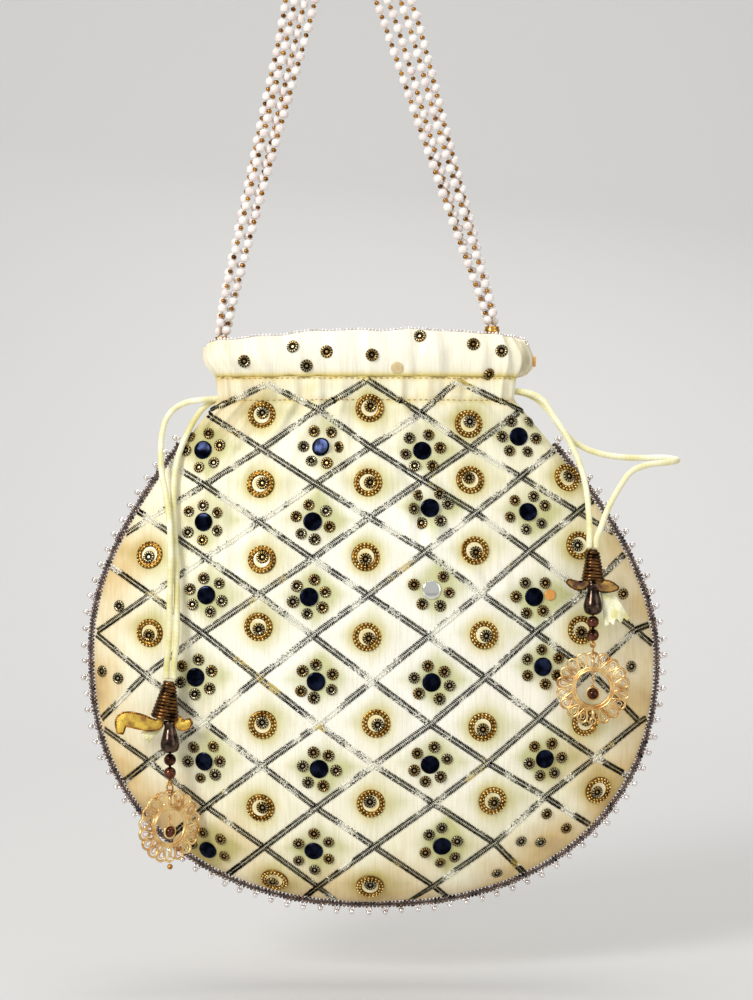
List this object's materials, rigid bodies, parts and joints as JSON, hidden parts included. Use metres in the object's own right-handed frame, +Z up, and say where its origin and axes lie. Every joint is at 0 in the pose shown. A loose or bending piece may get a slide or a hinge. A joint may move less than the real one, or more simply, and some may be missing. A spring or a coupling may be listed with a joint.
{
  "type": "potli bag",
  "caption": "Flat round drawstring pouch in embroidered silk, with a gathered frilled mouth, a handle of pearl strands and tasselled drawstrings.",
  "frame": {"origin": "underside of the innermost handle strand, where it hangs over what carries the bag", "axes": "+Z up along the hanging handle, +X to the right seen from the embroidered front, +Y from the front to the back; the seam plane is Y = 0"},
  "size_m": [0.2351, 0.0494, 0.4009],
  "materials": {
    "silk": "ivory dupion silk, satin sheen, embroidered on the front",
    "lining": "plain cream lining cloth",
    "satin_cord": "pale cream round satin cord",
    "pearl": "white imitation pearl",
    "gold": "polished antique gold plate",
    "bronze": "dark antique gold plate",
    "silver_beads": "silver and bronze seed beads",
    "brocade": "gold brocade with a corded edge",
    "ribbon": "frayed cream ribbon"
  },
  "bodies": {
    "bag": {"front_panel": "silk", "front_lining": "lining", "front_casing_strip": "lining", "front_frill": "silk", "front_mouth_trim": "silver_beads", "back_panel": "silk", "back_lining": "lining", "back_casing_strip": "lining", "back_frill": "silk", "back_mouth_trim": "silver_beads", "seam_trim": "silver_beads", "left_drawstring": "satin_cord", "right_drawstring": "satin_cord", "handle_strand_1": "pearl", "handle_strand_2": "pearl", "handle_strand_3": "pearl", "handle_strand_4": "pearl", "left_handle_end": "gold", "right_handle_end": "gold", "left_cone": "bronze", "left_pin": "gold", "left_leaf_outer": "brocade", "left_leaf_inner": "brocade", "left_ribbon": "ribbon", "right_cone": "bronze", "right_pin": "gold", "right_leaf_outer": "brocade", "right_leaf_inner": "brocade", "right_ribbon": "ribbon"},
    "left_bell": {"left_bell": "bronze"},
    "left_upper_bead": {"left_upper_bead": "gold"},
    "left_lower_bead": {"left_lower_bead": "gold"},
    "left_link": {"left_link": "gold"},
    "left_pendant": {"left_pendant": "gold", "left_drop_bead": "gold"},
    "left_charm_ball": {"left_charm_ball": "gold"},
    "right_bell": {"right_bell": "bronze"},
    "right_upper_bead": {"right_upper_bead": "gold"},
    "right_lower_bead": {"right_lower_bead": "gold"},
    "right_link": {"right_link": "gold"},
    "right_pendant": {"right_pendant": "gold", "right_drop_bead": "gold"},
    "right_charm_ball": {"right_charm_ball": "gold"}
  },
  "joints": [
    {"name": "left_bell_spin", "type": "hinge", "parent": "bag", "child": "left_bell", "pos_m": [-0.0666, -0.02161, -0.3133], "axis": [0, 0, 1], "continuous": true},
    {"name": "left_upper_bead_spin", "type": "hinge", "parent": "bag", "child": "left_upper_bead", "pos_m": [-0.0666, -0.02161, -0.3223], "axis": [0, 0, 1], "continuous": true},
    {"name": "left_lower_bead_spin", "type": "hinge", "parent": "bag", "child": "left_lower_bead", "pos_m": [-0.0666, -0.02161, -0.3274], "axis": [0, 0, 1], "continuous": true},
    {"name": "left_link_swing", "type": "hinge", "parent": "bag", "child": "left_link", "pos_m": [-0.0666, -0.02161, -0.3333], "axis": [-0.766, -0.6428, 0], "range_deg": [-1, 75]},
    {"name": "left_pendant_sway", "type": "hinge", "parent": "left_link", "child": "left_pendant", "pos_m": [-0.0666, -0.02161, -0.3353], "axis": [-0.6428, 0.766, 0], "range_deg": [-7, 35]},
    {"name": "left_charm_ball_swing", "type": "hinge", "parent": "left_pendant", "child": "left_charm_ball", "pos_m": [-0.0666, -0.02161, -0.3414], "axis": [-0.6428, 0.766, 0], "range_deg": [-20, 20]},
    {"name": "right_bell_spin", "type": "hinge", "parent": "bag", "child": "right_bell", "pos_m": [0.098, -0.02191, -0.2596], "axis": [0, 0, 1], "continuous": true},
    {"name": "right_upper_bead_spin", "type": "hinge", "parent": "bag", "child": "right_upper_bead", "pos_m": [0.098, -0.02191, -0.2686], "axis": [0, 0, 1], "continuous": true},
    {"name": "right_lower_bead_spin", "type": "hinge", "parent": "bag", "child": "right_lower_bead", "pos_m": [0.098, -0.02191, -0.2737], "axis": [0, 0, 1], "continuous": true},
    {"name": "right_link_swing", "type": "hinge", "parent": "bag", "child": "right_link", "pos_m": [0.098, -0.02191, -0.2796], "axis": [-0.9903, 0.1392, 0], "range_deg": [-1, 75]},
    {"name": "right_pendant_sway", "type": "hinge", "parent": "right_link", "child": "right_pendant", "pos_m": [0.098, -0.02191, -0.2816], "axis": [0.1392, 0.9903, 0], "range_deg": [-35, 35]},
    {"name": "right_charm_ball_swing", "type": "hinge", "parent": "right_pendant", "child": "right_charm_ball", "pos_m": [0.098, -0.02191, -0.2877], "axis": [0.1392, 0.9903, 0], "range_deg": [-20, 20]}
  ]
}
